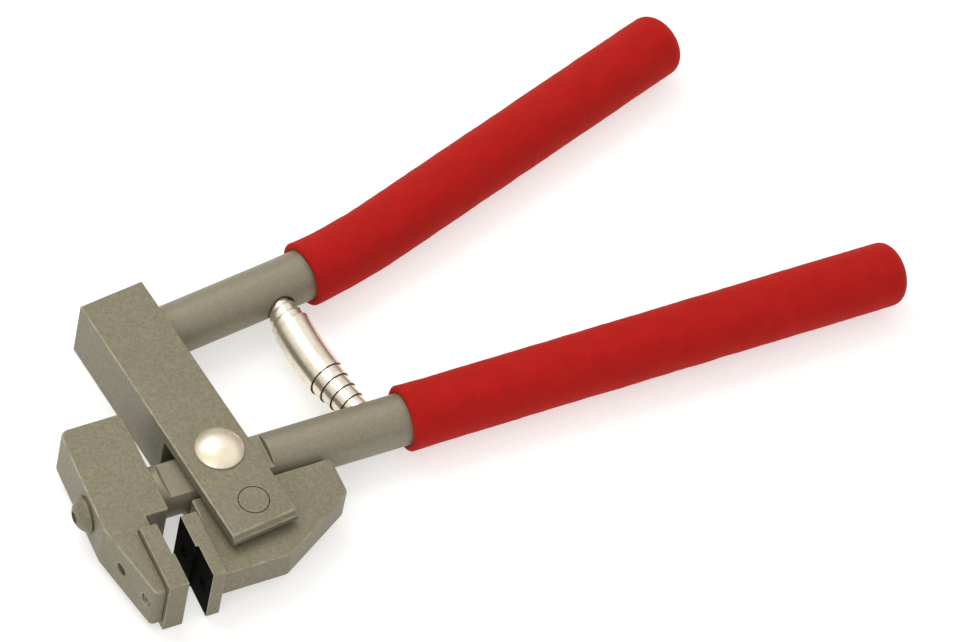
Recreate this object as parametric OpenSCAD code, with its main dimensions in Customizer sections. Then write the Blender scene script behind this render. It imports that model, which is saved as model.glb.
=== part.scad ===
// Parallel-jaw edge setting pliers, lying on their back.
// Origin: the pivot rivet's axis, on the plane that the pliers lie on.
// +X runs along the lower rod to its grip, +Y to the upper handle, +Z out of the fork's front face.

/* [Rods] */
// Diameter of both round steel rods
rod_d = 16; // [12:0.5:20]
// Drop of the lower rod's axis below the pivot axis
rod_drop = 1.75; // [0:0.25:3]
// Length of the lower rod from the pivot to its free end
lower_rod_reach = 222.5; // [150:1:300]
// Thickness of the flat tongue on the lower rod
tongue_t = 10.6; // [7:0.1:12]
// Reach of the tongue from the pivot towards the jaws
tongue_jaw_reach = 18; // [17.5:0.25:19.5]
// Reach of the tongue from the pivot towards the grips
tongue_grip_reach = 15; // [13.5:0.25:20]
// Run of the slanted shoulder at the tongue's jaw end
shoulder_run = 1.6; // [0:0.1:1.8]

/* [Fork bar] */
// Thickness of the bar, front to back
bar_depth = 22; // [18:0.5:28]
// Length of the bar above the pivot
bar_above = 62.5; // [55:0.5:80]
// Length of the bar below the pivot
bar_below = 29.7; // [26.5:0.1:32]
// Distance from the pin line to the bar's edge on the handle side
bar_handle_side = 9.8; // [8:0.1:11]
// Distance from the pin line to the bar's edge on the jaw side, at the top
bar_jaw_side_top = 11.4; // [9:0.1:13]
// The same distance at the bottom of the ears
bar_jaw_side_bottom = 12.2; // [11:0.1:14]
// Chamfer across the bottom of the ears, front and back
ear_chamfer = 1.5; // [0.2:0.1:1.8]
// Gap between each ear and the thicker of the tongue and the jaw plate
ear_gap = 1.7; // [0.1:0.1:2.5]
// Height of the slot's closed end above the pivot
slot_above = 11.5; // [9.5:0.25:16]
// Angle of the upper lever in the drawn, sprung-open pose
open_angle = 7; // [2:0.5:10]

/* [Upper handle] */
// Height of the upper rod's axis above the pivot, along the bar
upper_rod_height = 49.2; // [44:0.1:60]
// Distance from the pin line to the start of the bend
bend_start = 51; // [40:1:70]
// Radius of the bend, on the rod's axis
bend_radius = 200; // [80:5:300]
// Angle that the bend turns the handle outwards
bend_angle = 11.5; // [8:0.25:16]
// Straight length of the upper rod after the bend
upper_rod_tail = 114.6; // [80:1:180]

/* [Pins] */
// Diameter of the pivot rivet's shank
pivot_d = 8; // [6:0.1:9]
// Diameter of the pivot rivet's domed head
pivot_head_d = 15; // [12:0.1:18]
// Height of the domed head
pivot_head_h = 3.4; // [2:0.1:5]
// Diameter of the drive pin
drive_d = 9.6; // [7:0.1:11]
// Distance from the pivot to the drive pin
drive_arm = 20; // [18:0.1:21]
// Height of the slot in the jaw plate beyond the drive pin's diameter
drive_slot_extra = 2.4; // [1.6:0.1:4]
// Running clearance of a pin or plate, on each side
running = 0.05; // [0.03:0.01:0.1]

/* [Jaws] */
// Width of both dies, front to back
die_w = 21.6; // [18:0.1:26]
// Height of both dies
die_h = 22.6; // [18:0.1:26]
// Distance from the pivot axis down to the top of the dies
die_drop = 17.8; // [16.5:0.1:20]
// Thickness of the fixed die at its lower, proud half
fixed_die_t = 6.4; // [4:0.1:8]
// Thickness of the sliding die at its upper, proud half
sliding_die_t = 5.2; // [3.5:0.1:6.5]
// Depth of the step across each die's face
joggle = 0.9; // [0.5:0.05:2]
// Open gap between the dies
jaw_gap = 7.4; // [6:0.1:8]
// Distance from the pivot to the jaw block's inner face
block_face = 21.5; // [21:0.1:24]
// Thickness of the jaw block along the rod
block_t = 20.4; // [18:0.1:24]
// Width of the jaw block, front to back
block_w = 16.6; // [14:0.1:24]
// Height of the jaw block's top above the pivot
block_top = 22.9; // [16:0.1:26]
// Distance from the dies' lower ends up to the jaw block's lower end
block_rise = 1.3; // [0:0.1:2]
// Thickness of the sliding jaw plate
plate_t = 10.8; // [7:0.1:13]
// Gap between the lower rod and the sliding jaw plate
plate_gap = 0.8; // [0.2:0.1:1.5]
// Reach of the sliding jaw plate from the pivot towards the grips
plate_reach = 32; // [24:0.5:40]
// Height of the sliding jaw plate
plate_h = 27.4; // [26:0.1:29]
// Height of the plate's square end, above its chamfer
plate_end_h = 13; // [8:0.1:18]
// Length of the plate's bottom edge under the chamfer
plate_foot = 22.4; // [18:0.1:28]

/* [Screws] */
// Diameter of the jaw block screw's thread
block_screw_d = 6; // [4:0.1:8]
// Diameter of its button head
block_screw_head_d = 11.4; // [9:0.1:15]
// Height of its button head
block_screw_head_h = 3.6; // [2:0.1:5]
// Thickness of the washer under that head
washer_t = 0.8; // [0.5:0.1:1.2]
// Diameter of the die screws' threads
die_screw_d = 2.4; // [2:0.1:4]
// Diameter of the die screws' heads
die_screw_head_d = 3.6; // [3:0.1:6]
// Diameter of the dowel that keys the jaw block to the rod
dowel_d = 3; // [2:0.1:4]

/* [Spring] */
// Distance from the pivot to the spring's foot, along the lower rod
spring_foot_x = 48.2; // [44:0.1:52]
// Distance from the pin line to the spring's top, along the upper rod
spring_head_x = 47.4; // [44:0.1:50]
// Mean radius of the strip's widest coil
spring_mid_r = 6; // [5.4:0.1:8]
// Thickness of the spring's strip
strip_t = 0.4; // [0.3:0.05:0.45]
// Step in radius from each coil to the next one below the widest
foot_step_r = 0.46; // [0.46:0.01:0.6]
// Step in radius from each coil to the next one above the widest
head_step_r = 0.66; // [0.46:0.01:1]
// Turns below the widest coil, the flat end turn included
foot_turns = 5; // [2:1:5]
// Turns above the widest coil, the flat end turn included
head_turns = 3.5; // [1.5:0.5:3.5]
// Height that shows of each coil below the widest
foot_pitch = 4; // [3:0.1:4.6]
// Height that shows of each coil above the widest
head_pitch = 3; // [2:0.1:4]
// Depth of the drilled seats in the rods that the spring's ends sit in
seat_depth = 1.6; // [1:0.1:2.4]
// Diameter of the pegs that hold the spring's ends
peg_d = 4.4; // [3:0.1:4.6]
// Height of the pegs above the rods
peg_h = 3.6; // [2:0.1:6]

/* [Grips] */
// Thickness of the soft grips
grip_t = 2; // [1.2:0.1:4]
// Distance from the pivot to the lower grip's mouth
lower_grip_start = 59.8; // [57:0.1:80]
// Distance from the pin line to the upper grip's mouth
upper_grip_start = 59.2; // [57:0.1:68]
// Thickness of the closed end of the grips
grip_end_t = 5; // [3:0.1:8]

/* [Hidden] */
$fn = 96;
arc_fn = 720;
eps = 0.02;
// the straight tail laps into the bend by this much, a hair thinner than the bend
lap = 1;
hair = 0.01;
rod_r = rod_d / 2;
slot_w = max(tongue_t, plate_t) + 2 * ear_gap;
mid_z = bar_depth / 2;
grip_r = rod_r + grip_t;
grip_bore_r = rod_r + running;

// jaw line, from the fixed jaw to the sliding jaw
die_bottom = die_drop + die_h;
step_y = -(die_drop + die_h / 2);
sliding_die_back = -15.1;
sliding_upper = sliding_die_back - sliding_die_t;
sliding_lower = sliding_upper + joggle;
fixed_lower = sliding_lower - jaw_gap;
fixed_upper = fixed_lower - joggle;
die_seat = fixed_lower - fixed_die_t;

// jaw block outline
block_back = block_face + block_t;
block_bottom = block_rise - die_bottom;
nose_bulge = 0.45;
nose_tip_x = die_seat - 3.6;
nose_bend_y = -13.5;
notch_h = 4.1;
die_roof = 0.7;
notch_top = -die_drop + die_roof + notch_h;
notch_depth = 4.4;

// rod ends, in the jaw block and in the bar
tenon_d = rod_d - 4;
block_tenon = 12;
bar_tenon = 14;
block_screw_depth = block_t + 2;
spot_reach = 5;
block_spot_d = block_screw_head_d + 0.6;
dowel_x = block_face + 5;
dowel_bite = 2.5;
dowel_tip_y = tenon_d / 2 - rod_drop - dowel_bite;
dowel_sunk = 0.5;

// sliding jaw plate and its slot for the drive pin
plate_top = rod_drop + rod_r + plate_gap;
plate_relief_x = 2.2;
plate_relief_y = 5.8;
drive_x = drive_arm * sin(open_angle);
drive_slot_w = drive_d + 4 * running;
drive_slot_y = -drive_arm + 0.3;

// die screws
screw_pitch = 12;
die_screw_head_h = 2.2;
die_screw_seat = die_seat - 1.9;
fixed_screw_bite = fixed_die_t - joggle - 1.2;
sliding_screw_head_h = 1.9;
sliding_screw_depth = 5;

// spring axis
seat_clearance = 0.1;
spring_lift = 0.2;
foot_point = [spring_foot_x, rod_r - rod_drop];
head_local = [spring_head_x, upper_rod_height - rod_r];
head_point = [
    head_local[0] * cos(open_angle) - head_local[1] * sin(open_angle),
    head_local[0] * sin(open_angle) + head_local[1] * cos(open_angle)
];
spring_vec = head_point - foot_point;
spring_span = norm(spring_vec);
spring_tilt = atan2(-spring_vec[0], spring_vec[1]);
spring_length = spring_span + 2 * (seat_depth - spring_lift);
spring_foot_z = foot_pitch * (foot_turns - 1);
spring_head_z = spring_length - head_pitch * (head_turns - 1);
seam_z = (spring_foot_z + spring_head_z) / 2;
seam_gap = 0.2;
waist_r = 0.34;
steps_per_turn = 24;
start_angle = -23;
peg_sink = 4;

// ---- helpers ----

// points of a corner p rounded with radius r, between its neighbours a and b
function corner(a, p, b, r, n = 6) =
    r <= 0 ? [p] :
    let (u = (a - p) / norm(a - p), v = (b - p) / norm(b - p),
         half = acos(u * v) / 2,
         reach = r / tan(half),
         c = p + (u + v) / norm(u + v) * r / sin(half),
         s = p + u * reach - c,
         turn = (cross(u, v) > 0 ? -1 : 1) * (180 - 2 * half))
    [for (i = [0:n])
        let (t = turn * i / n)
        c + [s[0] * cos(t) - s[1] * sin(t), s[0] * sin(t) + s[1] * cos(t)]];

// outline from a list of [x, y, radius]
function rounded(list) =
    let (n = len(list), p = [for (q = list) [q[0], q[1]]])
    [for (i = [0:n - 1]) each corner(p[(i + n - 1) % n], p[i], p[(i + 1) % n], list[i][2])];

// a plate of the given thickness, centred on the mid plane
module slab(points, t) {
    translate([0, 0, mid_z - t / 2]) linear_extrude(t) polygon(points);
}

// places a child that is drawn along +Z so that it runs along +X
module along_x(x, y, z = mid_z) {
    translate([x, y, z]) rotate([0, 90, 0]) children();
}

// places the upper lever, which is drawn upright, at its open angle
module upper_lever() {
    rotate([0, 0, open_angle]) children();
}

// a round bar along the bend of the upper handle, from arc_start degrees into it
module bend(r, arc_start) {
    translate([bend_start, upper_rod_height + bend_radius, mid_z]) rotate([0, 0, arc_start - 90])
        rotate_extrude(angle = bend_angle - arc_start, $fn = arc_fn)
            translate([bend_radius, 0]) circle(r, $fn = 96);
}

// places a child at a distance past the end of the bend, with its +Z along the handle
module after_bend(distance) {
    translate([bend_start, upper_rod_height + bend_radius, mid_z]) rotate([0, 0, bend_angle])
        translate([distance, -bend_radius, 0]) rotate([0, 90, 0]) children();
}

// a straight round bar of radius r with a rounded end, drawn along +Z
module round_ended(r, length) {
    rotate_extrude() {
        square([r, length]);
        translate([0, length]) intersection() {
            square([r, grip_end_t]);
            union() {
                square([r - grip_end_t, grip_end_t]);
                translate([r - grip_end_t, 0]) circle(grip_end_t);
            }
        }
    }
}

// a peg on the spring's axis, from below the surface of a rod to peg_h above it
module peg() {
    translate([0, 0, -peg_sink]) cylinder(d = peg_d, h = peg_sink + peg_h);
}

module at_spring_foot() {
    translate([foot_point[0], foot_point[1], mid_z]) rotate([0, 0, spring_tilt]) rotate([-90, 0, 0]) children();
}

module at_spring_head() {
    translate([head_point[0], head_point[1], mid_z]) rotate([0, 0, spring_tilt]) rotate([90, 0, 0]) children();
}

// mirrors a child through the mid plane when side is 1
module mirror_z(side) {
    translate([0, 0, side * 2 * mid_z]) mirror([0, 0, side]) children();
}

// a screw drawn along +Z from under its head, with a hex socket
module socket_screw(d, depth, head_d, head_h, key) {
    difference() {
        union() {
            translate([0, 0, -head_h]) cylinder(d = head_d, h = head_h);
            cylinder(d = d, h = depth);
        }
        translate([0, 0, -head_h - eps]) cylinder(d = key, h = head_h * 0.6, $fn = 6);
    }
}

// repeats a child at both screw heights of a die
module at_die_screw(x, s) {
    along_x(x, step_y + s * screw_pitch / 2) children();
}

// ---- lower lever ----

module lower_rod() {
    color("dimgray") difference() {
        union() {
            along_x(-block_face, -rod_drop) cylinder(r = rod_r, h = block_face + lower_rod_reach);
            along_x(-block_face - block_tenon, -rod_drop) cylinder(d = tenon_d, h = block_tenon + eps);
        }
        for (side = [0, 1]) mirror_z(side) translate([0, rod_d, mid_z]) rotate([90, 0, 0])
            linear_extrude(2 * rod_d + rod_drop) polygon([
                [-tongue_jaw_reach, tongue_t / 2], [tongue_grip_reach, tongue_t / 2],
                [tongue_grip_reach, rod_d], [-tongue_jaw_reach - shoulder_run, rod_d],
                [-tongue_jaw_reach - shoulder_run, rod_r]
            ]);
        translate([0, 0, -rod_d]) cylinder(r = pivot_d / 2 + running, h = 4 * rod_d);
        along_x(-block_back, -rod_drop) cylinder(d = block_screw_d, h = block_screw_depth + eps);
        dowel_hole();
        at_spring_foot() peg();
        at_spring_foot() spring_seat(strip_r(1.5 - foot_turns));
    }
}

// the dowel's blind hole, from the top of the jaw block down through the rod's tenon
module dowel_hole() {
    translate([-dowel_x, block_top + eps, mid_z]) rotate([90, 0, 0])
        cylinder(d = dowel_d, h = block_top - dowel_tip_y + eps);
}

module jaw_block() {
    color("gray") difference() {
        slab(rounded([
            [-block_face, block_top, 1],
            [-block_back + nose_bulge, block_top, 3],
            [-block_back - nose_bulge, nose_bend_y, 3],
            [nose_tip_x, block_bottom, 1.6],
            [die_seat, block_bottom, 0],
            [die_seat, -die_drop + die_roof, 0],
            [die_seat + notch_depth, -die_drop + die_roof, 0],
            [die_seat + notch_depth, notch_top, 0],
            [-block_face, notch_top, 0.6]
        ]), block_w);
        along_x(-block_face - block_tenon, -rod_drop)
            cylinder(d = tenon_d + 2 * running, h = block_tenon + eps);
        along_x(-block_back - spot_reach, -rod_drop) cylinder(d = block_screw_d + 0.6, h = block_t);
        along_x(-block_back - spot_reach, -rod_drop) cylinder(d = block_spot_d, h = spot_reach);
        dowel_hole();
        for (s = [1, -1]) {
            at_die_screw(-block_back - spot_reach, s) cylinder(d = die_screw_d + 0.4, h = block_t);
            at_die_screw(-block_back - spot_reach, s)
                cylinder(d = die_screw_head_d + 0.4, h = block_back + spot_reach + die_screw_seat);
        }
    }
}

module block_washer() {
    color("silver") along_x(-block_back, -rod_drop) mirror([0, 0, 1]) difference() {
        cylinder(d = block_screw_head_d - 1, h = washer_t);
        translate([0, 0, -eps]) cylinder(d = block_screw_d + 0.4, h = washer_t + 2 * eps);
    }
}

module block_screw() {
    color("gray") along_x(-block_back - washer_t, -rod_drop) difference() {
        union() {
            mirror([0, 0, 1]) button_head(block_screw_head_d / 2, block_screw_head_h);
            cylinder(d = block_screw_d, h = washer_t + block_screw_depth);
        }
        translate([0, 0, -block_screw_head_h - eps]) cylinder(d = block_screw_d * 0.66, h = 2.2, $fn = 6);
    }
}

// a domed head of radius r and height h, drawn along +Z from its flat underside
module button_head(r, h) {
    ball_r = (r * r + h * h) / (2 * h);
    rotate_extrude() intersection() {
        square([r, h]);
        translate([0, h - ball_r]) circle(ball_r, $fn = 180);
    }
}

module block_dowel() {
    color("silver") translate([-dowel_x, block_top - dowel_sunk, mid_z]) rotate([90, 0, 0])
        cylinder(d = dowel_d, h = block_top - dowel_sunk - dowel_tip_y);
}

// outline of a die with its working face towards +X, from its seat at x = 0
module die_outline(upper_t, lower_t) {
    slab([
        [0, -die_drop], [upper_t, -die_drop], [upper_t, step_y],
        [lower_t, step_y], [lower_t, -die_bottom], [0, -die_bottom]
    ], die_w);
}

module fixed_die() {
    color("dimgray") difference() {
        translate([die_seat, 0, 0]) die_outline(fixed_die_t - joggle, fixed_die_t);
        for (s = [1, -1]) at_die_screw(die_seat - eps, s) cylinder(d = die_screw_d, h = fixed_screw_bite + eps);
    }
}

module fixed_die_screw(s) {
    color("silver") at_die_screw(die_screw_seat, s)
        socket_screw(die_screw_d, die_seat - die_screw_seat + fixed_screw_bite,
                     die_screw_head_d, die_screw_head_h, die_screw_d * 0.8);
}

module lower_spring_peg() {
    color("silver") at_spring_foot() peg();
}

module lower_grip() {
    length = lower_rod_reach - lower_grip_start;
    color("firebrick") along_x(lower_grip_start, -rod_drop) difference() {
        round_ended(grip_r, length);
        translate([0, 0, -eps]) cylinder(r = grip_bore_r, h = length + eps);
    }
}

// ---- upper lever ----

module fork_bar() {
    color("gray") upper_lever() difference() {
        linear_extrude(bar_depth) polygon([
            [bar_handle_side, -bar_below], [bar_handle_side, bar_above],
            [-bar_jaw_side_top, bar_above], [-bar_jaw_side_bottom, -bar_below]
        ]);
        translate([-bar_depth, -bar_below - eps, mid_z - slot_w / 2])
            cube([2 * bar_depth, bar_below + slot_above + eps, slot_w]);
        translate([0, 0, -eps]) cylinder(d = pivot_d, h = bar_depth + 2 * eps);
        translate([0, -drive_arm, -eps]) cylinder(d = drive_d, h = bar_depth + 2 * eps);
        along_x(bar_handle_side - bar_tenon, upper_rod_height) cylinder(d = tenon_d, h = bar_tenon + eps);
        for (z = [0, bar_depth]) translate([0, -bar_below, z]) rotate([45, 0, 0])
            cube([4 * bar_depth, ear_chamfer * sqrt(2), ear_chamfer * sqrt(2)], center = true);
    }
}

module upper_rod() {
    color("dimgray") difference() {
        upper_lever() union() {
            along_x(bar_handle_side - bar_tenon, upper_rod_height) cylinder(d = tenon_d, h = bar_tenon + eps);
            along_x(bar_handle_side, upper_rod_height) cylinder(r = rod_r, h = bend_start - bar_handle_side);
            bend(rod_r, 0);
            after_bend(-lap) cylinder(r = rod_r - hair, h = upper_rod_tail + lap);
        }
        at_spring_head() peg();
        at_spring_head() spring_seat(strip_r(head_turns - 1.5));
    }
}

module pivot_rivet() {
    color("silver") {
        cylinder(d = pivot_d, h = bar_depth);
        translate([0, 0, bar_depth]) button_head(pivot_head_d / 2, pivot_head_h);
    }
}

module drive_pin() {
    color("gray") upper_lever() translate([0, -drive_arm, 0]) cylinder(d = drive_d, h = bar_depth);
}

module upper_spring_peg() {
    color("silver") at_spring_head() peg();
}

module upper_grip() {
    arc_start = (upper_grip_start - bend_start) / bend_radius * 180 / PI;
    color("firebrick") upper_lever() difference() {
        union() {
            bend(grip_r, arc_start);
            after_bend(-lap) round_ended(grip_r - hair, upper_rod_tail + lap);
        }
        bend(grip_bore_r, arc_start - 0.1);
        after_bend(-lap) cylinder(r = grip_bore_r - hair, h = upper_rod_tail + lap);
    }
}

// ---- sliding jaw ----

module jaw_plate() {
    color("gray") difference() {
        slab(rounded([
            [sliding_die_back + plate_relief_x, -plate_top, 0.6],
            [sliding_die_back + plate_relief_x, -plate_top - plate_relief_y, 0],
            [sliding_die_back, -plate_top - plate_relief_y, 0],
            [sliding_die_back, -plate_top - plate_h, 0],
            [sliding_die_back + plate_foot, -plate_top - plate_h, 3],
            [plate_reach, -plate_top - plate_end_h, 3],
            [plate_reach, -plate_top, 2]
        ]), plate_t);
        for (y = [drive_slot_extra / 2, -drive_slot_extra / 2])
            translate([drive_x, drive_slot_y + y, 0]) cylinder(d = drive_slot_w, h = bar_depth);
        translate([drive_x - drive_slot_w / 2, drive_slot_y - drive_slot_extra / 2, 0])
            cube([drive_slot_w, drive_slot_extra, bar_depth]);
        for (s = [1, -1]) at_die_screw(sliding_die_back - eps, s)
            cylinder(d = die_screw_d, h = sliding_screw_depth + eps);
    }
}

module sliding_die() {
    color("dimgray") difference() {
        translate([sliding_die_back, 0, 0]) mirror([1, 0, 0])
            die_outline(sliding_die_t, sliding_die_t - joggle);
        for (s = [1, -1]) at_die_screw(sliding_head_x(s), s) {
            translate([0, 0, -joggle - 1]) cylinder(d = die_screw_head_d, h = joggle + 1 + eps);
            cylinder(d1 = die_screw_head_d, d2 = die_screw_d, h = sliding_screw_head_h);
            cylinder(d = die_screw_d + eps, h = 2 * sliding_die_t);
        }
    }
}

// where the flat top of a sliding die screw's head lies, just under the die's face
function sliding_head_x(s) = (s > 0 ? sliding_upper : sliding_lower) + 0.2;

module sliding_die_screw(s) {
    color("silver") at_die_screw(sliding_head_x(s), s) difference() {
        union() {
            cylinder(d1 = die_screw_head_d, d2 = die_screw_d, h = sliding_screw_head_h);
            cylinder(d = die_screw_d, h = sliding_die_back - sliding_head_x(s) + sliding_screw_depth);
        }
        translate([0, 0, -eps]) cylinder(d = die_screw_d * 0.66, h = 1.2, $fn = 6);
    }
}

// ---- spring ----

// The strip is counted in turns from its widest coil: negative towards the foot, positive towards the head.
// For half a turn it is wide enough for both cones. Past that, each cone keeps to its own side of the seam.

function strip_r(turn) = turn <= 0
    ? spring_mid_r + turn * foot_step_r
    : spring_mid_r - turn * head_step_r - min(2 * turn, 1) * waist_r;

// height of the strip's lower edge: it drops coil by coil to the foot, where the last turn is flat
function strip_low(turn) = turn <= 0
    ? max(0, spring_foot_z + foot_pitch * turn)
    : seam_z + seam_gap / 2;

// height of the strip's upper edge, the same way round
function strip_high(turn) = turn >= -0.5
    ? min(spring_length, spring_head_z + head_pitch * turn)
    : seam_z - seam_gap / 2;

// the four corners of the strip's section
function strip_ring(turn) =
    let (a = 360 * turn + start_angle, r = strip_r(turn), low = strip_low(turn), high = strip_high(turn))
    [for (q = [[-1, low], [1, low], [1, high], [-1, high]])
        let (d = r + q[0] * strip_t / 2) [d * cos(a), d * sin(a), q[1]]];

// a flat strip wound into two cones that meet at the widest coil
module volute() {
    n = round(steps_per_turn * (foot_turns + head_turns));
    polyhedron(
        points = [for (i = [0:n]) each strip_ring(i / steps_per_turn - foot_turns)],
        faces = concat(
            [[0, 1, 2, 3]],
            [for (i = [0:n - 1], k = [0:3])
                [4 * i + k, 4 * i + 4 + k, 4 * i + 4 + (k + 1) % 4, 4 * i + (k + 1) % 4]],
            [[4 * n + 3, 4 * n + 2, 4 * n + 1, 4 * n]]
        )
    );
}

module volute_spring() {
    color("silver") at_spring_foot() translate([0, 0, spring_lift - seat_depth]) volute();
}

// the shallow drilled seat that clears the strip out to the radius r of its middle line
module spring_seat(r) {
    translate([0, 0, -seat_depth]) cylinder(r = r + strip_t / 2 + seat_clearance, h = 2 * seat_depth);
}

lower_rod();
jaw_block();
block_screw();
block_washer();
block_dowel();
fixed_die();
fixed_die_screw(1);  // fixed_die_screw_upper
fixed_die_screw(-1);  // fixed_die_screw_lower
lower_spring_peg();
lower_grip();
fork_bar();
upper_rod();
pivot_rivet();
drive_pin();
upper_spring_peg();
upper_grip();
jaw_plate();
sliding_die();
sliding_die_screw(1);  // sliding_die_screw_upper
sliding_die_screw(-1);  // sliding_die_screw_lower
volute_spring();
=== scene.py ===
"""Looks of the parallel-jaw edge setting pliers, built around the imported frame. Metres throughout."""

import math

import bmesh
import bpy
from mathutils import Matrix, Vector, noise


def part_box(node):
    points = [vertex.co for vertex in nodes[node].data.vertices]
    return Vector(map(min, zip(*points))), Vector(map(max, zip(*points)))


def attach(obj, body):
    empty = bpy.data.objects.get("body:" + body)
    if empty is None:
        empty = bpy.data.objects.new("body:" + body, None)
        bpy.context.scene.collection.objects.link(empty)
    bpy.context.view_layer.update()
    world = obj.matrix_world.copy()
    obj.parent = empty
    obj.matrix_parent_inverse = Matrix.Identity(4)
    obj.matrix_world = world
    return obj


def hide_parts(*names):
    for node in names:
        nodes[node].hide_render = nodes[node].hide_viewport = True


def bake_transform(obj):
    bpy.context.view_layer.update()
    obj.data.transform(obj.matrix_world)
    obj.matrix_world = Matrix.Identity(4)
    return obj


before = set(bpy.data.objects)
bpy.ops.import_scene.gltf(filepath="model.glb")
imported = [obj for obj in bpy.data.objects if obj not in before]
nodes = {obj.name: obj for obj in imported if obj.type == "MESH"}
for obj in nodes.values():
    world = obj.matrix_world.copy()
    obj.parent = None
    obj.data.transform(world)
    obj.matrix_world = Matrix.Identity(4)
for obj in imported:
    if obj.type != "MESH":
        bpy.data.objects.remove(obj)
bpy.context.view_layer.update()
scene = bpy.context.scene
MM = 0.001
LOWER, UPPER, JAW = "lower_lever", "upper_lever", "sliding_jaw"

# ---- sizes that the CAD boxes don't give by themselves: the design's own values ----

OPEN_ANGLE = math.radians(7)
UPPER_ROD_HEIGHT = 49.2 * MM
BEND_START = 51 * MM
BEND_RADIUS = 200 * MM
BEND_ANGLE = math.radians(11.5)
UPPER_TAIL = 114.6 * MM
UPPER_GRIP_START = 59.2 * MM
GRIP_END = 5 * MM
BORE_RADIUS = 8.05 * MM
BAR_DEPTH = 22 * MM
MID_Z = BAR_DEPTH / 2

SPRING_FOOT = Vector((48.2 * MM, 6.25 * MM, MID_Z))
HEAD_LOCAL = Vector((47.4 * MM, 41.2 * MM, MID_Z))
SPRING_HEAD = Matrix.Rotation(OPEN_ANGLE, 3, "Z") @ HEAD_LOCAL

# ---- node helpers ----


def node(tree, kind, inputs=None, **props):
    """Adds a shader node; inputs are default values or sockets to link."""
    made = tree.nodes.new("ShaderNode" + kind)
    for key, value in props.items():
        setattr(made, key, value)
    for key, value in (inputs or {}).items():
        if isinstance(value, bpy.types.NodeSocket):
            tree.links.new(value, made.inputs[key])
        else:
            made.inputs[key].default_value = value
    return made


def colour_mix(tree, factor, a, b):
    """Blends colour a into colour b by the factor; each may be a value or a socket."""
    mixed = node(tree, "Mix", data_type="RGBA")
    for index, value in ((0, factor), (6, a), (7, b)):
        if isinstance(value, bpy.types.NodeSocket):
            tree.links.new(value, mixed.inputs[index])
        elif index == 0:
            mixed.inputs[0].default_value = value
        else:
            mixed.inputs[index].default_value = (*value, 1)
    return mixed.outputs[2]


def ranged(tree, value, low, high, to_low, to_high):
    """Maps a value from low..high to to_low..to_high, clamped."""
    return node(tree, "MapRange", {0: value, 1: low, 2: high, 3: to_low, 4: to_high}).outputs[0]


def maths(tree, kind, a, b):
    return node(tree, "Math", {0: a, 1: b}, operation=kind).outputs[0]


def noise_at(tree, where, scale, detail=2.0, rough=0.5):
    made = node(tree, "TexNoise", {"Vector": where, "Scale": scale, "Detail": detail, "Roughness": rough})
    return made.outputs["Fac"]


def material(name):
    made = bpy.data.materials.new(name)
    made.use_nodes = True
    tree = made.node_tree
    return made, tree, tree.nodes["Principled BSDF"]


def object_coords(tree, turn_z=0.0):
    where = node(tree, "TexCoord").outputs["Object"]
    return node(tree, "Mapping", {"Vector": where, "Rotation": (0, 0, turn_z)}).outputs[0]


def attribute(tree, name):
    return node(tree, "Attribute", attribute_name=name).outputs["Fac"]


def finish_shader(tree, shader, colour, rough, height, strength, distance, metallic=0.0):
    tree.links.new(colour, shader.inputs["Base Color"])
    tree.links.new(rough, shader.inputs["Roughness"])
    bump = node(tree, "Bump", {"Height": height, "Strength": strength, "Distance": distance})
    tree.links.new(bump.outputs[0], shader.inputs["Normal"])
    shader.inputs["Metallic"].default_value = metallic


# ---- materials ----

PAINT_DARK, PAINT_LIGHT = (0.161, 0.145, 0.094), (0.233, 0.213, 0.146)
PAINT_CLOUD, PAINT_RUBBED = (0.136, 0.121, 0.078), (0.36, 0.33, 0.25)
RING_COLOUR = (0.33, 0.30, 0.23)
# near-black painted shade for the seam groove round the drive pin
SEAM_SHADE = (0.004, 0.0035, 0.003)
FOAM_DARK, FOAM_LIGHT = (0.37, 0.007, 0.006), (0.46, 0.011, 0.008)


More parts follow.
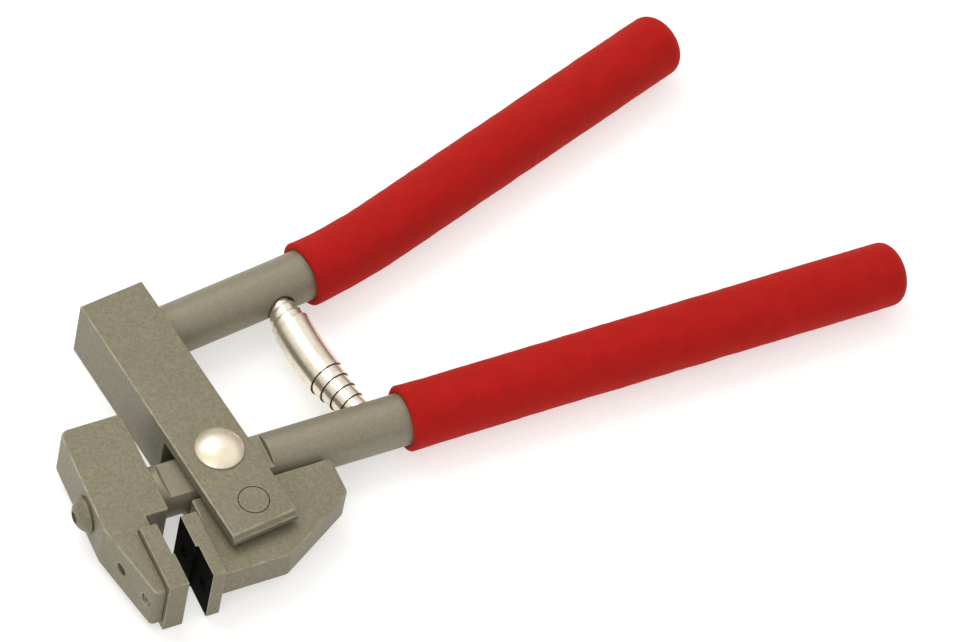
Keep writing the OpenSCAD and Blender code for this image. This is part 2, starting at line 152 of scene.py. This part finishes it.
def hammer_paint(name, turned=False, turn_z=0.0):
    """Warm grey-olive metallic paint with a fine speckle, rubbed lighter along its edges, and near-black
    painted shade where a face is marked for it, as in the groove round the drive pin. turned adds the fine
    tool rings of a turned rod under it."""
    made, tree, shader = material(name)
    where = object_coords(tree, turn_z)
    grain = noise_at(tree, where, 2100, 3, 0.62)
    worms = node(tree, "TexVoronoi", {"Vector": where, "Scale": 950}, feature="SMOOTH_F1")
    worms = worms.outputs["Distance"]
    clouds = noise_at(tree, where, 45, 3, 0.5)
    speckle = maths(tree, "ADD", maths(tree, "MULTIPLY", grain, 0.75), maths(tree, "MULTIPLY", worms, 0.35))
    colour = colour_mix(tree, ranged(tree, speckle, 0.36, 0.68, 0, 1), PAINT_DARK, PAINT_LIGHT)
    colour = colour_mix(tree, ranged(tree, clouds, 0.3, 0.75, 0, 0.2), colour, PAINT_CLOUD)
    height = speckle
    if turned:
        wave = {"Vector": where, "Scale": 700, "Distortion": 0.8, "Detail": 1, "Detail Scale": 40}
        rings = node(tree, "TexWave", wave, wave_type="BANDS", bands_direction="X").outputs["Fac"]
        colour = colour_mix(tree, ranged(tree, rings, 0.2, 0.9, 0.2, 0.55), colour, RING_COLOUR)
        height = maths(tree, "ADD", maths(tree, "MULTIPLY", speckle, 0.6),
                       maths(tree, "MULTIPLY", rings, 0.5))
    scuffs = ranged(tree, noise_at(tree, where, 240, 3, 0.6), 0.38, 0.6, 0.2, 0.7)
    rub = maths(tree, "MULTIPLY", attribute(tree, "edge_wear"), scuffs)
    colour = colour_mix(tree, rub, colour, PAINT_RUBBED)
    # painted shade: the marked faces of the drive pin's seam groove turn near-black, as the shade in that
    # groove, with a faint breakup
    seam_shade_breakup = ranged(tree, noise_at(tree, where, 180, 3, 0.6), 0.3, 0.7, 1, 0.94)
    shade_mask = maths(tree, "MULTIPLY", attribute(tree, "painted_shade"), seam_shade_breakup)
    colour = colour_mix(tree, shade_mask, colour, SEAM_SHADE)
    rough = maths(tree, "MAXIMUM", ranged(tree, grain, 0.3, 0.7, 0.52, 0.4),
                  maths(tree, "MULTIPLY", shade_mask, 0.9))
    finish_shader(tree, shader, colour, rough, height, 0.35, 0.00012, 0.3)
    shader.inputs["Specular IOR Level"].default_value = 0.35
    return made


def plated(name, tint, rough_low, rough_high, stain, wave_scale, metallic=1.0):
    """Plated steel, or the near-black steel of the die faces: faint waviness, a few duller patches, and
    dark painted shade where a face is marked for it, as on the spring strip's edges."""
    made, tree, shader = material(name)
    where = object_coords(tree)
    patches = noise_at(tree, where, 260, 3, 0.6)
    pits = noise_at(tree, where, 1600, 2, 0.6)
    colour = colour_mix(tree, ranged(tree, patches, 0.42, 0.72, 0, 0.55), tint, stain)
    colour = colour_mix(tree, ranged(tree, pits, 0.66, 0.76, 0, 0.5), colour, (0.3, 0.24, 0.17))
    # painted shade: faces marked for it (the spring strip's edges) are darkened, for the shade where the
    # coils overlap
    colour = colour_mix(tree, attribute(tree, "painted_shade"), colour, (0.03, 0.025, 0.018))
    rough = ranged(tree, patches, 0.3, 0.7, rough_low, rough_high)
    waves = noise_at(tree, where, wave_scale, 2, 0.5)
    finish_shader(tree, shader, colour, rough, waves, 0.22, 0.0003, metallic)
    return made


def foam_red(name):
    """Red closed-cell foam: cloudy colour, fine open pores and a soft, pale rim."""
    made, tree, shader = material(name)
    where = object_coords(tree)
    clouds = noise_at(tree, where, 160, 4, 0.6)
    cells = noise_at(tree, where, 1150, 3, 0.65)
    pores = node(tree, "TexVoronoi", {"Vector": where, "Scale": 1500}, feature="F1").outputs["Distance"]
    colour = colour_mix(tree, ranged(tree, clouds, 0.2, 0.8, 0, 1), FOAM_DARK, FOAM_LIGHT)
    colour = colour_mix(tree, ranged(tree, cells, 0.35, 0.68, 0, 0.55), colour, (0.30, 0.008, 0.008))
    colour = colour_mix(tree, ranged(tree, pores, 0.0, 0.28, 0.5, 0), colour, (0.2, 0.006, 0.006))
    height = maths(tree, "ADD", maths(tree, "MULTIPLY", cells, 0.7), maths(tree, "MULTIPLY", pores, 0.4))
    rough = ranged(tree, cells, 0.3, 0.7, 0.95, 0.8)
    finish_shader(tree, shader, colour, rough, height, 0.7, 0.0003)
    shader.inputs["Specular IOR Level"].default_value = 0.1
    shader.inputs["Sheen Weight"].default_value = 0.1
    shader.inputs["Sheen Roughness"].default_value = 0.5
    shader.inputs["Sheen Tint"].default_value = (1.0, 0.42, 0.25, 1)
    return made


PAINT = hammer_paint("hammer_paint")
LOWER_ROD_PAINT = hammer_paint("lower_rod_paint", turned=True)
UPPER_ROD_PAINT = hammer_paint("upper_rod_paint", turned=True, turn_z=-OPEN_ANGLE)
CHROME = plated("chrome", (0.9, 0.81, 0.65), 0.26, 0.4, (0.72, 0.61, 0.45), 300, 0.85)
SPRING_PLATE = plated("spring_plating", (0.84, 0.77, 0.64), 0.18, 0.3, (0.66, 0.56, 0.42), 300, 0.88)
ZINC = plated("zinc", (0.62, 0.6, 0.54), 0.28, 0.42, (0.45, 0.42, 0.36), 500)
# near-black steel for the die faces and the sliding die's screws: dark steel, darkened further as painted
# shade of the narrow jaw gap
BLACK_STEEL_AND_SHADE = plated("black_steel_and_shade", (0.003, 0.0026, 0.0022), 0.8, 0.95, (0.006, 0.005, 0.004), 500, 0.0)
BLACK_STEEL_AND_SHADE.node_tree.nodes["Principled BSDF"].inputs["Specular IOR Level"].default_value = 0.06
FOAM = foam_red("red_foam")

# ---- mesh helpers ----

WELD = 2e-6
POLE = 1e-7
FLAT_ANGLE, EDGE_ANGLE = math.radians(0.5), math.radians(28)
DIE_FACE_DEPTH = 2.2 * MM


def new_object(name, bm, paint, smooth=True):
    mesh = bpy.data.meshes.new(name)
    bmesh.ops.recalc_face_normals(bm, faces=bm.faces)
    for face in bm.faces:
        face.smooth = smooth
    bm.to_mesh(mesh)
    bm.free()
    mesh.materials.append(paint)
    made = bpy.data.objects.new(name, mesh)
    scene.collection.objects.link(made)
    return made


def weigh_normals(piece):
    piece.modifiers.new("weighted normals", "WEIGHTED_NORMAL").keep_sharp = True


def place(piece, body, slot, *replaced):
    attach(piece, body)
    if replaced:
        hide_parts(*replaced)
    return piece


def eased(source, width, paint, body, slot, left_sharp=None, black_towards=None, seam=False):
    """A steel piece with the exact shape of a CAD node and its edges eased by a small round.
    left_sharp tells which edges stay as cut, by their middle; black_towards is the way that a die's
    black face looks, dark steel made darker as painted shade of the jaw gap; seam makes the eased edges
    a dark line of painted shade instead of a rubbed one."""
    bm = bmesh.new()
    bm.from_mesh(nodes[source].data)
    bmesh.ops.remove_doubles(bm, verts=bm.verts, dist=WELD)
    bmesh.ops.dissolve_limit(bm, angle_limit=FLAT_ANGLE, verts=bm.verts, edges=bm.edges)
    wear = bm.faces.layers.float.new("edge_wear")
    shade_mask = bm.faces.layers.float.new("painted_shade")
    picked = []
    for edge in bm.edges:
        if len(edge.link_faces) != 2 or edge.calc_face_angle(0) < EDGE_ANGLE:
            continue
        if left_sharp and left_sharp((edge.verts[0].co + edge.verts[1].co) / 2):
            edge.smooth = False
        else:
            picked.append(edge)
    made = bmesh.ops.bevel(bm, geom=picked, offset=width, offset_type="OFFSET", segments=3, profile=0.5,
                           affect="EDGES", clamp_overlap=False, loop_slide=True, material=-1)
    # a seam's eased faces are marked for painted shade, the others for rubbed wear
    for face in made["faces"]:
        face[shade_mask if seam else wear] = 1
    # the die's working face goes near-black: dark steel, darkened further as painted shade of the jaw gap
    if black_towards is not None:
        low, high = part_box(source)
        for face in bm.faces:
            at = face.calc_center_median()
            depth = max((end - at).dot(black_towards) for end in (low, high))
            inset = min(at.y - low.y, high.y - at.y, at.z - low.z, high.z - at.z)
            if depth < DIE_FACE_DEPTH and (face.normal.dot(black_towards) > 0.7 or inset > width):
                face.material_index = 1
                face[wear] = 0
    bmesh.ops.triangulate(bm, faces=[face for face in bm.faces if len(face.verts) > 4])
    piece = new_object(source + "_finish", bm, paint)
    if black_towards is not None:
        piece.data.materials.append(BLACK_STEEL_AND_SHADE)
    weigh_normals(piece)
    place(piece, body, slot, source)


def lathe(name, profile, paint, turns):
    """A closed piece turned about the Z axis. profile is a list of (height, radius) from pole to pole."""
    bm = bmesh.new()
    angles = [2 * math.pi * i / turns for i in range(turns)]
    rings = []
    for height, radius in profile:
        around = angles if radius > POLE else [0.0]
        rings.append([bm.verts.new((radius * math.cos(a), radius * math.sin(a), height)) for a in around])
    skin(bm, rings)
    return new_object(name, bm, paint)


def skin(bm, rings):
    """Faces between neighbouring rings; a ring of one vertex is a pole."""
    for low, high in zip(rings, rings[1:]):
        count = max(len(low), len(high))
        for i in range(count):
            j = (i + 1) % count
            if len(low) == 1:
                bm.faces.new((low[0], high[j], high[i]))
            elif len(high) == 1:
                bm.faces.new((low[i], low[j], high[0]))
            else:
                bm.faces.new((low[i], low[j], high[j], high[i]))


# ---- foam grips ----


def foam_grip(name, path, length, radius, body, source, seed):
    """A foam sleeve along path(s), which gives the axis point and direction at s. It has a rolled mouth,
    a full round end, a bore for the rod, and the slightly uneven skin of soft foam."""
    end_reach, lip, inner_lip = 6.2 * MM, 0.9 * MM, 0.35 * MM
    profile = [(length, 0.0)]
    for k in range(1, 15):
        t = math.radians(90 * k / 14)
        profile.append((length - end_reach + end_reach * math.cos(t) ** 0.9, radius * math.sin(t) ** 0.92))
    steps = int((length - end_reach - lip) / (0.8 * MM))
    for k in range(1, steps + 1):
        profile.append((length - end_reach - (length - end_reach - lip) * k / steps, radius))
    for k in range(1, 6):
        t = math.radians(90 * k / 5)
        profile.append((lip * (1 - math.sin(t)), radius - lip * (1 - math.cos(t))))
    for k in range(1, 4):
        t = math.radians(90 * k / 3)
        profile.append((inner_lip * (1 - math.cos(t)), BORE_RADIUS + inner_lip * (1 - math.sin(t))))
    for k in range(1, 41):
        profile.append((inner_lip + (length - GRIP_END - inner_lip) * k / 40, BORE_RADIUS))
    profile.append((length - GRIP_END, 0.0))
    bm = bmesh.new()
    rings = []
    turns = 96
    for s, r in profile:
        at, along = path(s)
        side = Vector((-along.y, along.x, 0))
        if r < POLE:
            rings.append([bm.verts.new(at)])
            continue
        ring = []
        for i in range(turns):
            a = 2 * math.pi * i / turns
            out = side * math.cos(a) + Vector((0, 0, 1)) * math.sin(a)
            swell = 0.0
            if r > BORE_RADIUS + 0.5 * MM:
                spot = (at + out * r) + Vector((seed, 0, 0))
                swell = 0.10 * noise.noise(spot * 130) + 0.07 * noise.noise(spot * 420) - 0.05
                swell += 0.22 * math.exp(-(s / (5 * MM)) ** 2)
            ring.append(bm.verts.new(at + out * (r + swell * MM)))
        rings.append(ring)
    skin(bm, rings)
    piece = new_object(name, bm, FOAM)
    place(piece, body, "red_grip", source)


def lower_path(s):
    return Vector((lower_low.x + s, lower_axis_y, MID_Z)), Vector((1, 0, 0))


def upper_path(s):
    """The upper rod's axis: straight, one bend, straight again, turned to the open angle."""
    arc = UPPER_GRIP_START - BEND_START + s
    turn = min(max(arc / BEND_RADIUS, 0), BEND_ANGLE)
    at = Vector((BEND_START + BEND_RADIUS * math.sin(turn),
                 UPPER_ROD_HEIGHT + BEND_RADIUS * (1 - math.cos(turn)), MID_Z))
    along = Vector((math.cos(turn), math.sin(turn), 0))
    at += along * (arc - turn * BEND_RADIUS)
    lean = Matrix.Rotation(OPEN_ANGLE, 3, "Z")
    return lean @ at, lean @ along


lower_low, lower_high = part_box("lower_grip")
lower_axis_y = (lower_low.y + lower_high.y) / 2
grip_radius = (lower_high.z - lower_low.z) / 2
foam_grip("lower_foam_grip", lower_path, lower_high.x - lower_low.x, grip_radius, LOWER, "lower_grip", 0.0)
upper_length = BEND_RADIUS * BEND_ANGLE - (UPPER_GRIP_START - BEND_START) + UPPER_TAIL + GRIP_END
foam_grip("upper_foam_grip", upper_path, upper_length, grip_radius, UPPER, "upper_grip", 3.0)

# ---- steel pieces ----

pin_low, pin_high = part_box("drive_pin")
pin_axis = (pin_low + pin_high) / 2
PIVOT_MOUTH, PIN_MOUTH = 4.6 * MM, 5.2 * MM
SEAT_REACH, SPOT_REACH = 6.5 * MM, 7 * MM


def near_a_pin(p):
    """The mouths of the two pin holes in the bar stay as drilled."""
    from_pin = math.hypot(p.x - pin_axis.x, p.y - pin_axis.y)
    return math.hypot(p.x, p.y) < PIVOT_MOUTH or from_pin < PIN_MOUTH


def near_spring(p):
    """The rims of the spring's drilled seats stay as cut."""
    return min((p - SPRING_FOOT).length, (p - SPRING_HEAD).length) < SEAT_REACH


def near_block_screw(p):
    """The jaw block's shallow spot face, and the screw and washer in it, stay as turned."""
    low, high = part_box("block_washer")
    return math.hypot(p.y - (low.y + high.y) / 2, p.z - MID_Z) < SPOT_REACH


eased("fork_bar", 0.45 * MM, PAINT, UPPER, "hammer_paint", left_sharp=near_a_pin)
eased("drive_pin", 0.3 * MM, PAINT, UPPER, "hammer_paint", seam=True)
eased("upper_rod", 0.3 * MM, UPPER_ROD_PAINT, UPPER, "hammer_paint", left_sharp=near_spring)
eased("lower_rod", 0.3 * MM, LOWER_ROD_PAINT, LOWER, "hammer_paint", left_sharp=near_spring)
eased("jaw_block", 0.5 * MM, PAINT, LOWER, "hammer_paint", left_sharp=near_block_screw)
eased("jaw_plate", 0.45 * MM, PAINT, JAW, "hammer_paint")
eased("fixed_die", 0.3 * MM, PAINT, LOWER, "die_steel", black_towards=Vector((1, 0, 0)))
eased("sliding_die", 0.3 * MM, PAINT, JAW, "die_steel", black_towards=Vector((-1, 0, 0)))
eased("block_screw", 0.25 * MM, PAINT, LOWER, "hammer_paint", left_sharp=near_block_screw)
eased("block_washer", 0.15 * MM, PAINT, LOWER, "fastener_steel", left_sharp=near_block_screw)
for which in ("upper", "lower"):
    eased("fixed_die_screw_" + which, 0.15 * MM, PAINT, LOWER, "fastener_steel")
    # painted shade: the sliding die's screws are made near-black so they sink into the shade of its face
    eased("sliding_die_screw_" + which, 0.15 * MM, BLACK_STEEL_AND_SHADE, JAW, "fastener_steel")
eased("block_dowel", 0.25 * MM, ZINC, LOWER, "fastener_steel")
for peg in ("lower_spring_peg", "upper_spring_peg"):
    nodes[peg].data.materials.clear()
    nodes[peg].data.materials.append(ZINC)

# ---- pivot rivet: a domed head with a thin rim ----

rivet_low, rivet_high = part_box("pivot_rivet")
rivet_radius = (rivet_high.x - rivet_low.x) / 2
shank_radius = 4 * MM
head_height = rivet_high.z - BAR_DEPTH
rim = 0.45 * MM
dome_rise = head_height - rim
dome_ball = (rivet_radius ** 2 + dome_rise ** 2) / (2 * dome_rise)
rivet_profile = [
    (0.0, 0.0),
    (0.0, shank_radius - 0.3 * MM),
    (0.1 * MM, shank_radius - 0.08 * MM),
    (0.3 * MM, shank_radius),
    (BAR_DEPTH, shank_radius),
    (BAR_DEPTH, rivet_radius - 0.15 * MM),
    (BAR_DEPTH + 0.12 * MM, rivet_radius),
    (BAR_DEPTH + rim * 0.7, rivet_radius),
]
for k in range(31):
    r = (rivet_radius - 0.12 * MM) * (1 - k / 30)
    rise = math.sqrt(dome_ball ** 2 - r ** 2) - (dome_ball - dome_rise)
    rivet_profile.append((BAR_DEPTH + rim + rise, r))
rivet = lathe("pivot_rivet_head", rivet_profile, CHROME, 128)
place(rivet, UPPER, "rivet_chrome", "pivot_rivet")

# ---- volute spring: a strip wound into two cones that meet at the widest coil ----

SPRING_SUNK = 1.4 * MM
MID_R, STRIP_T = 6 * MM, 0.4 * MM
FOOT_STEP, HEAD_STEP, WAIST = 0.46 * MM, 0.66 * MM, 0.34 * MM
FOOT_TURNS, HEAD_TURNS = 5, 3.5
FOOT_PITCH, HEAD_PITCH = 4 * MM, 3 * MM
SEAM_GAP = 0.2 * MM
START_ANGLE = math.radians(-23)
SPRING_BOW = Vector((-1.5 * MM, 0, -1.0 * MM))

spring_axis = SPRING_HEAD - SPRING_FOOT
spring_length = spring_axis.length + 2 * SPRING_SUNK
spring_way = spring_axis.normalized()
foot_z = FOOT_PITCH * (FOOT_TURNS - 1)
head_z = spring_length - HEAD_PITCH * (HEAD_TURNS - 1)
seam_z = (foot_z + head_z) / 2


def strip_section(turn):
    """Radius and the two edge heights of the strip at a turn counted from the widest coil."""
    if turn <= 0:
        radius = MID_R + turn * FOOT_STEP
        low = max(0, foot_z + FOOT_PITCH * turn)
    else:
        radius = MID_R - turn * HEAD_STEP - min(2 * turn, 1) * WAIST
        low = seam_z + SEAM_GAP / 2
    high = min(spring_length, head_z + HEAD_PITCH * turn) if turn >= -0.5 else seam_z - SEAM_GAP / 2
    return radius, low, high


def build_spring():
    """The strip as one mesh, with eased edges marked dark as painted shade between the coils, and a slight
    bow along its length.
    """
    bm = bmesh.new()
    side = spring_way.cross(Vector((0, 0, 1))).normalized()
    out = side.cross(spring_way).normalized()
    per_turn = 96
    count = round(per_turn * (FOOT_TURNS + HEAD_TURNS))
    levels = 12
    ease = 0.12 * MM
    rings = []
    for i in range(count + 1):
        turn = i / per_turn - FOOT_TURNS
        radius, low, high = strip_section(turn)
        a = 2 * math.pi * turn + START_ANGLE
        ring = []
        rise = high - low - 2 * ease
        section = [(-1, low + ease), (-0.4, low), (0.4, low), (1, low + ease)]
        section += [(1, low + ease + rise * k / levels) for k in range(1, levels + 1)]
        section += [(0.4, high), (-0.4, high)]
        section += [(-1, high - ease - rise * k / levels) for k in range(levels)]
        for where, z in section:
            d = radius + where * STRIP_T / 2
            along = z - SPRING_SUNK
            bow = math.sin(math.pi * z / spring_length)
            ring.append(bm.verts.new(SPRING_FOOT + spring_way * along + side * (d * math.cos(a))
                                     + out * (-d * math.sin(a)) + SPRING_BOW * bow))
        rings.append(ring)
    shade_mask = bm.faces.layers.float.new("painted_shade")
    # painted shade: the faces along the strip's edges are marked dark, for the shade between overlapping
    # coils
    edge_strips = {0, 1, 2, levels + 3, levels + 4, levels + 5}
    for low_ring, high_ring in zip(rings, rings[1:]):
        n = len(low_ring)
        for k in range(n):
            j = (k + 1) % n
            face = bm.faces.new((low_ring[k], low_ring[j], high_ring[j], high_ring[k]))
            if k in edge_strips:
                face[shade_mask] = 1
    bm.faces.new(rings[0])
    bm.faces.new(rings[-1])
    piece = new_object("volute_strip", bm, SPRING_PLATE)
    weigh_normals(piece)
    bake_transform(piece)
    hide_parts("volute_spring")


build_spring()

# ---- floor, light and camera ----

floor_mesh = bmesh.new()
bmesh.ops.create_grid(floor_mesh, x_segments=8, y_segments=8, size=3)
floor_paint, floor_tree, floor_shader = material("pale_floor")
floor_where = object_coords(floor_tree)
floor_mottle = noise_at(floor_tree, floor_where, 14, 3, 0.5)
floor_fade = ranged(floor_tree, floor_mottle, 0.3, 0.7, 0, 1)
floor_colour = colour_mix(floor_tree, floor_fade, (0.57, 0.57, 0.567), (0.6, 0.6, 0.597))
floor_rough = ranged(floor_tree, floor_mottle, 0.3, 0.7, 0.85, 0.9)
finish_shader(floor_tree, floor_shader, floor_colour, floor_rough, floor_mottle, 0.05, 0.0005)
floor_shader.inputs["Emission Color"].default_value = (1, 1, 0.995, 1)
floor_shader.inputs["Emission Strength"].default_value = 0.5
floor = new_object("floor", floor_mesh, floor_paint, smooth=False)
floor.location.z = -0.4 * MM

AIM = Vector((101.7, 29.7, 0)) * MM
HEADING, ELEVATION, ROLL = math.radians(54.75), math.radians(53.77), math.radians(13.15)
DISTANCE = 2.441
LENS = 303.6

camera_data = bpy.data.cameras.new("camera")
camera_data.lens = LENS
camera_data.sensor_width = 36
camera_data.clip_start, camera_data.clip_end = 0.05, 50
camera = bpy.data.objects.new("camera", camera_data)
scene.collection.objects.link(camera)
forward = Vector((math.cos(ELEVATION) * math.cos(HEADING), math.cos(ELEVATION) * math.sin(HEADING),
                  -math.sin(ELEVATION)))
level = forward.cross(Vector((0, 0, 1))).normalized()
upright = level.cross(forward)
right = level * math.cos(ROLL) + upright * math.sin(ROLL)
up = right.cross(forward)
stance = Matrix((right, up, -forward)).transposed().to_4x4()
camera.matrix_world = Matrix.Translation(AIM - forward * DISTANCE) @ stance
scene.camera = camera

scene.view_settings.view_transform = "Standard"
world = bpy.data.worlds.new("studio")
scene.world = world
world.use_nodes = True
world_tree = world.node_tree
direction = node(world_tree, "TexCoord").outputs["Generated"]
sky_height = node(world_tree, "SeparateXYZ", {0: direction}).outputs[2]
glow = ranged(world_tree, sky_height, 0.05, 0.6, 0.16, 1.0)
background = world_tree.nodes["Background"]
world_tree.links.new(glow, background.inputs["Strength"])
background.inputs["Color"].default_value = (1.0, 0.985, 0.96, 1)


def softbox(name, offset, size, power, tint):
    lamp = bpy.data.lights.new(name, "AREA")
    lamp.shape = "RECTANGLE"
    lamp.size, lamp.size_y = size
    lamp.energy = power
    lamp.color = tint
    lamp_object = bpy.data.objects.new(name, lamp)
    scene.collection.objects.link(lamp_object)
    lamp_object.location = AIM + Vector(offset)
    lamp_object.rotation_euler = (-Vector(offset)).to_track_quat("-Z", "Y").to_euler()


softbox("key_softbox", (-0.35, 0.75, 1.25), (0.9, 0.9), 9, (1.0, 0.98, 0.94))
softbox("fill_softbox", (-1.1, -0.7, 0.8), (0.9, 0.7), 3, (1.0, 0.97, 0.92))
